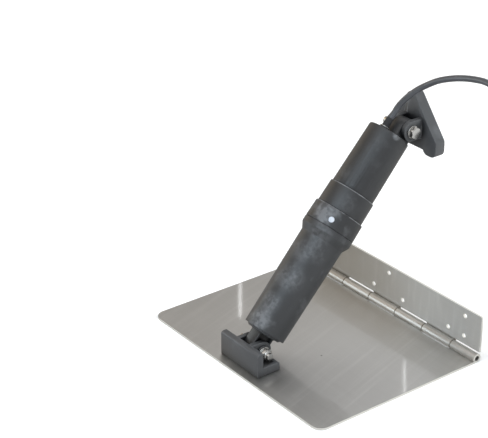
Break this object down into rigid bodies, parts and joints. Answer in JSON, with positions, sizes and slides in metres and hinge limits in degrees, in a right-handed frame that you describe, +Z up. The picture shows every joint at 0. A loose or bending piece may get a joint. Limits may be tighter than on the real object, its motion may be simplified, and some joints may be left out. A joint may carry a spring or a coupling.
{
  "type": "boat trim tab",
  "caption": "Hinged stainless trim tab with an upright transom leaf and a leaning electric screw actuator between moulded pivot brackets, with its cable.",
  "frame": {"origin": "on the leaf's transom face at mid span, level with the lower row of screw holes", "axes": "+X along the hinge, +Y into the transom, +Z up"},
  "size_m": [0.4206, 0.3283, 0.3245],
  "materials": {
    "plate_steel": "satin mill finish with bright cut edges",
    "fastener_steel": "bright drawn stainless",
    "ram_steel": "ground",
    "black_moulding": "fine satin with cloudy scuffs",
    "white_plug": "smooth",
    "bronze": "machined",
    "guide_plastic": "machined",
    "rubber": "moulded",
    "motor_can": "plated",
    "cable_jacket": "semi-gloss jacket"
  },
  "bodies": {
    "tab": {"tab_plate": "plate_steel", "hinge_pin": "fastener_steel", "lower_bracket": "black_moulding", "bracket_screws": "fastener_steel", "lower_pivot_bolt": "fastener_steel", "lower_pivot_nut": "fastener_steel", "lower_pivot_washers": "fastener_steel"},
    "leaf": {"transom_leaf": "plate_steel"},
    "ram": {"ram_end": "black_moulding", "lower_pivot_bush": "bronze", "ram_tube": "ram_steel", "drive_nut": "bronze"},
    "housing": {"lower_tube": "black_moulding", "tube_end_cap": "black_moulding", "wiper_seal": "rubber", "guide_bush": "guide_plastic", "collar": "black_moulding", "collar_plug": "white_plug", "lock_ring": "black_moulding", "upper_housing": "black_moulding", "housing_seal": "rubber", "screw_bearing": "ram_steel", "gearbox": "motor_can", "motor": "motor_can", "motor_damper": "rubber", "upper_pivot_bush": "bronze", "cable_gland": "rubber", "gland_clip": "fastener_steel", "cable": "cable_jacket", "cable_coil": "cable_jacket", "coil_ties": "cable_jacket", "cable_connector": "cable_jacket"},
    "screw": {"leadscrew": "ram_steel", "screw_coupler": "ram_steel"},
    "bracket": {"upper_bracket": "black_moulding", "upper_pivot_bolt": "fastener_steel", "upper_pivot_nut": "fastener_steel", "upper_pivot_washers": "fastener_steel"}
  },
  "joints": [
    {"name": "leaf_hinge", "type": "hinge", "parent": "tab", "child": "leaf", "pos_m": [0, -0.00555, -0.01665], "axis": [1, 0, 0], "range_deg": [-90, 90]},
    {"name": "actuator_swing", "type": "hinge", "parent": "tab", "child": "ram", "pos_m": [0, -0.20215, -0.0026], "axis": [1, 0, 0], "range_deg": [-21, 44]},
    {"name": "ram_stroke", "type": "slide", "parent": "ram", "child": "housing", "axis": [0, 0.673, 0.7396], "range_m": [0, 0.057]},
    {"name": "screw_spin", "type": "hinge", "parent": "housing", "child": "screw", "pos_m": [0, -0.13485, 0.07136], "axis": [0, 0.673, 0.7396], "range_deg": [0, 4104]},
    {"name": "bracket_swing", "type": "hinge", "parent": "housing", "child": "bracket", "pos_m": [0, 0.00439, 0.21101], "axis": [1, 0, 0], "range_deg": [-35, 20]}
  ],
  "couplings": [
    {"joint": "screw_spin", "follows": "ram_stroke", "rad_per_m": 1256.6}
  ]
}
